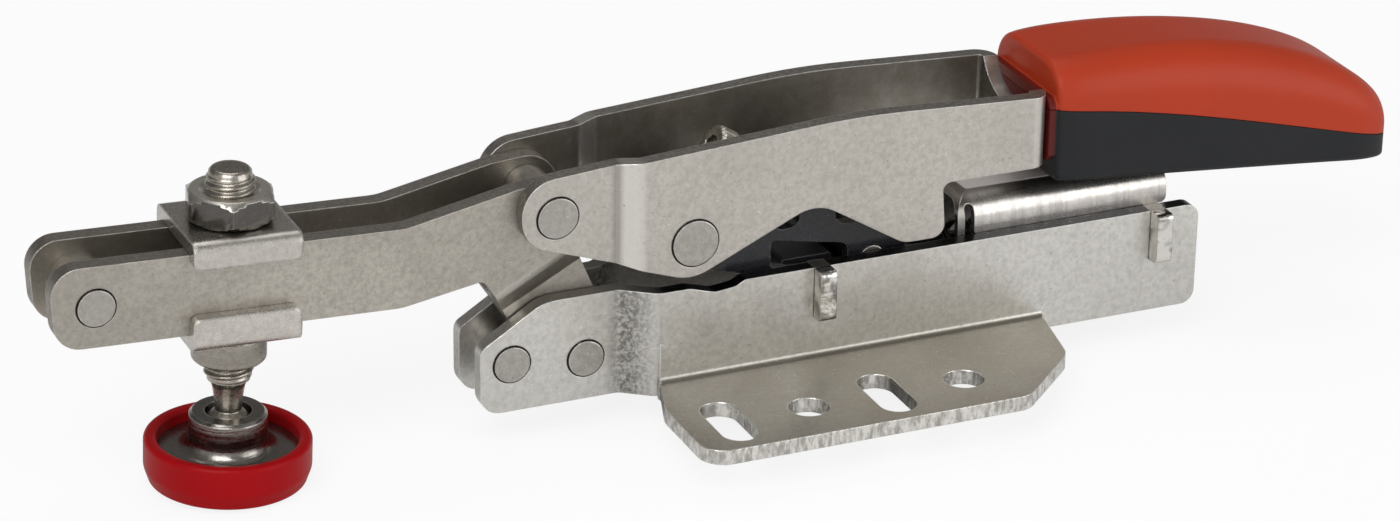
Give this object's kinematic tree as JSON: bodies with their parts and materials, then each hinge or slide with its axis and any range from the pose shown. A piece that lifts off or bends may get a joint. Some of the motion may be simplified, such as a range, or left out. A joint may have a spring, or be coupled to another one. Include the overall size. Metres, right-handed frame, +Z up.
{
  "type": "horizontal toggle clamp",
  "caption": "Horizontal toggle clamp with a slotted clamping arm, screw-adjustable swivel pad, two-shell lever grip and a spring-loaded self-adjusting carriage on a flanged base",
  "frame": {"origin": "centre of the mounting-hole field on the base's mounting face", "axes": "+X from the clamping pad to the grip, +Y across, +Z up from the mounting face"},
  "size_m": [0.2293, 0.0722, 0.0525],
  "materials": {
    "plated_sheet": "bright plated sheet steel",
    "nickel_sheet": "satin nickel-plated sheet steel",
    "cover_steel": "bright drawn sheet",
    "pin_steel": "plated steel, headed ends",
    "zinc_steel": "bright zinc-plated steel",
    "black_steel": "black oxide",
    "dark_steel": "dark phosphated steel",
    "orange_red": "satin moulded plastic",
    "dark_grey": "matte moulded plastic",
    "red_rubber": "glossy soft polymer"
  },
  "bodies": {
    "base": {"base_plate_left": "plated_sheet", "base_plate_right": "plated_sheet", "nose_pin": "pin_steel", "arm_pivot_pin": "pin_steel", "front_cross_plate": "plated_sheet", "rear_cross_plate": "plated_sheet", "spring_cover": "cover_steel"},
    "arm": {"arm_plate_left": "nickel_sheet", "arm_plate_right": "nickel_sheet", "arm_tip_rivet": "pin_steel"},
    "handle": {"handle_bracket": "nickel_sheet", "handle_pivot_pin": "pin_steel", "link_pivot_pin": "pin_steel", "grip_top": "orange_red", "grip_base": "dark_grey"},
    "link": {"link_lever": "black_steel", "link_rear_pin": "pin_steel"},
    "screw": {"adjusting_screw": "pin_steel"},
    "carriage": {"carriage_block": "dark_steel", "guide_rod": "pin_steel", "return_spring": "pin_steel"},
    "saddles": {"top_saddle": "nickel_sheet", "low_saddle": "nickel_sheet", "lock_nut": "zinc_steel", "collar_nut": "zinc_steel"},
    "spindle": {"spindle": "zinc_steel"},
    "pad": {"pad_cup": "zinc_steel", "pad_cap": "red_rubber"}
  },
  "joints": [
    {"name": "arm_pivot", "type": "hinge", "parent": "base", "child": "arm", "pos_m": [-0.0361, 0, 0.007], "axis": [0, 1, 0], "range_deg": [0, 62]},
    {"name": "handle_pivot", "type": "hinge", "parent": "arm", "child": "handle", "pos_m": [-0.0424, 0, 0.0337], "axis": [0, -1, 0], "range_deg": [0, 142.9]},
    {"name": "link_pivot", "type": "hinge", "parent": "handle", "child": "link", "pos_m": [-0.0199, 0, 0.0265], "axis": [0, 1, 0], "range_deg": [0, 122.7]},
    {"name": "screw_turn", "type": "hinge", "parent": "link", "child": "screw", "pos_m": [-0.0125, 0, 0.0378], "axis": [0.8387, 0, -0.5446], "range_deg": [-180, 180]},
    {"name": "carriage_slide", "type": "slide", "parent": "base", "child": "carriage", "axis": [1, 0, 0], "range_m": [0, 0.003], "stiffness_N_per_m": 1200, "springref_m": -0.002},
    {"name": "saddle_slide", "type": "slide", "parent": "arm", "child": "saddles", "axis": [0.9993, 0, -0.0384], "range_m": [-0.011, 0.0065]},
    {"name": "spindle_feed", "type": "slide", "parent": "saddles", "child": "spindle", "axis": [0.0384, 0, 0.9993], "range_m": [-0.003, 0.007]},
    {"name": "pad_swivel", "type": "hinge", "parent": "spindle", "child": "pad", "pos_m": [-0.09348, 0, 0.00225], "axis": [0, 1, 0], "range_deg": [-8, 8]}
  ],
  "couplings": [
    {"joint": "handle_pivot", "follows": "arm_pivot", "ratio": 2.2973},
    {"joint": "link_pivot", "follows": "arm_pivot", "ratio": 1.971}
  ]
}
